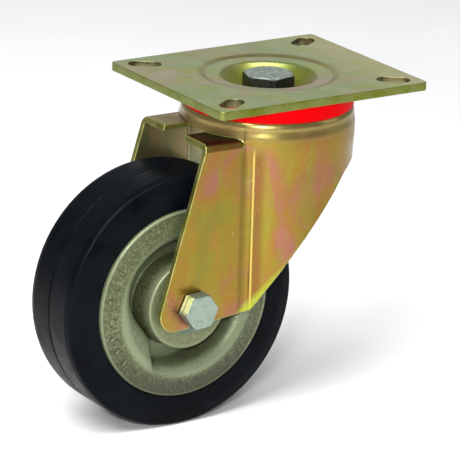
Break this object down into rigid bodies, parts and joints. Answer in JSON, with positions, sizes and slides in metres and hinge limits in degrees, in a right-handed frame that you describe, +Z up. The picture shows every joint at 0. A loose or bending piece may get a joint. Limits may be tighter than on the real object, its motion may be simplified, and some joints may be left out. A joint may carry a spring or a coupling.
{
  "type": "swivel plate castor wheel",
  "caption": "Swivel castor with a slotted top plate, a ball-race pressed steel fork with a dust seal, and a rubber-tyred cast-iron wheel.",
  "frame": {"origin": "on the swivel axis at the top plate's mounting face", "axes": "+Z up along the swivel axis; the wheel trails towards -X, the plate's long side runs along X and the axle along Y"},
  "size_m": [0.2135, 0.12, 0.197],
  "materials": {
    "plate_zinc": "olive-green passivated zinc, satin, with faint pink patches",
    "fork_zinc": "yellow passivated zinc, satin, golden with pink and olive patches",
    "red_seal": "bright red moulded plastic",
    "black_bolt": "black oxide, top face worn grey",
    "clear_zinc": "bright clear zinc",
    "bearing_steel": "ground hardened steel",
    "cage_steel": "pressed steel",
    "cast_centre": "grainy casting, olive-green passivated zinc",
    "tyre_rubber": "solid black rubber, satin"
  },
  "bodies": {
    "mounting_plate": {"top_plate": "plate_zinc", "kingpin_bolt": "black_bolt", "kingpin_nut": "clear_zinc", "kingpin_sleeve": "bearing_steel", "lower_race_cup": "fork_zinc", "dust_seal_ring": "red_seal"},
    "swivel_fork": {"fork": "fork_zinc", "axle_bolt": "clear_zinc", "axle_nut": "clear_zinc", "axle_tube": "bearing_steel", "axle_spacer_near": "clear_zinc", "axle_spacer_far": "clear_zinc"},
    "wheel": {"wheel_centre": "cast_centre", "tyre": "tyre_rubber"},
    "upper_ball_row": {"upper_ball_cage": "cage_steel", "upper_ball_01": "bearing_steel", "upper_ball_02": "bearing_steel", "upper_ball_03": "bearing_steel", "upper_ball_04": "bearing_steel", "upper_ball_05": "bearing_steel", "upper_ball_06": "bearing_steel", "upper_ball_07": "bearing_steel", "upper_ball_08": "bearing_steel", "upper_ball_09": "bearing_steel", "upper_ball_10": "bearing_steel", "upper_ball_11": "bearing_steel", "upper_ball_12": "bearing_steel", "upper_ball_13": "bearing_steel", "upper_ball_14": "bearing_steel", "upper_ball_15": "bearing_steel", "upper_ball_16": "bearing_steel"},
    "lower_ball_row": {"lower_ball_cage": "cage_steel", "lower_ball_01": "bearing_steel", "lower_ball_02": "bearing_steel", "lower_ball_03": "bearing_steel", "lower_ball_04": "bearing_steel", "lower_ball_05": "bearing_steel", "lower_ball_06": "bearing_steel", "lower_ball_07": "bearing_steel", "lower_ball_08": "bearing_steel", "lower_ball_09": "bearing_steel", "lower_ball_10": "bearing_steel", "lower_ball_11": "bearing_steel", "lower_ball_12": "bearing_steel", "lower_ball_13": "bearing_steel", "lower_ball_14": "bearing_steel"},
    "roller_row": {"roller_cage": "cage_steel", "roller_01": "bearing_steel", "roller_02": "bearing_steel", "roller_03": "bearing_steel", "roller_04": "bearing_steel", "roller_05": "bearing_steel", "roller_06": "bearing_steel", "roller_07": "bearing_steel", "roller_08": "bearing_steel", "roller_09": "bearing_steel", "roller_10": "bearing_steel", "roller_11": "bearing_steel", "roller_12": "bearing_steel"}
  },
  "joints": [
    {"name": "fork_swivel", "type": "hinge", "parent": "mounting_plate", "child": "swivel_fork", "pos_m": [0, 0, -0.015], "axis": [0, 0, 1], "continuous": true},
    {"name": "wheel_spin", "type": "hinge", "parent": "swivel_fork", "child": "wheel", "pos_m": [-0.0685, 0, -0.122], "axis": [0, 1, 0], "continuous": true},
    {"name": "upper_balls_orbit", "type": "hinge", "parent": "mounting_plate", "child": "upper_ball_row", "pos_m": [0, 0, -0.0112], "axis": [0, 0, 1], "continuous": true},
    {"name": "lower_balls_orbit", "type": "hinge", "parent": "mounting_plate", "child": "lower_ball_row", "pos_m": [0, 0, -0.02235], "axis": [0, 0, 1], "continuous": true},
    {"name": "rollers_orbit", "type": "hinge", "parent": "swivel_fork", "child": "roller_row", "pos_m": [-0.0685, 0, -0.122], "axis": [0, 1, 0], "continuous": true}
  ],
  "couplings": [
    {"joint": "upper_balls_orbit", "follows": "fork_swivel", "ratio": 0.5},
    {"joint": "lower_balls_orbit", "follows": "fork_swivel", "ratio": 0.5},
    {"joint": "rollers_orbit", "follows": "wheel_spin", "ratio": 0.572}
  ]
}
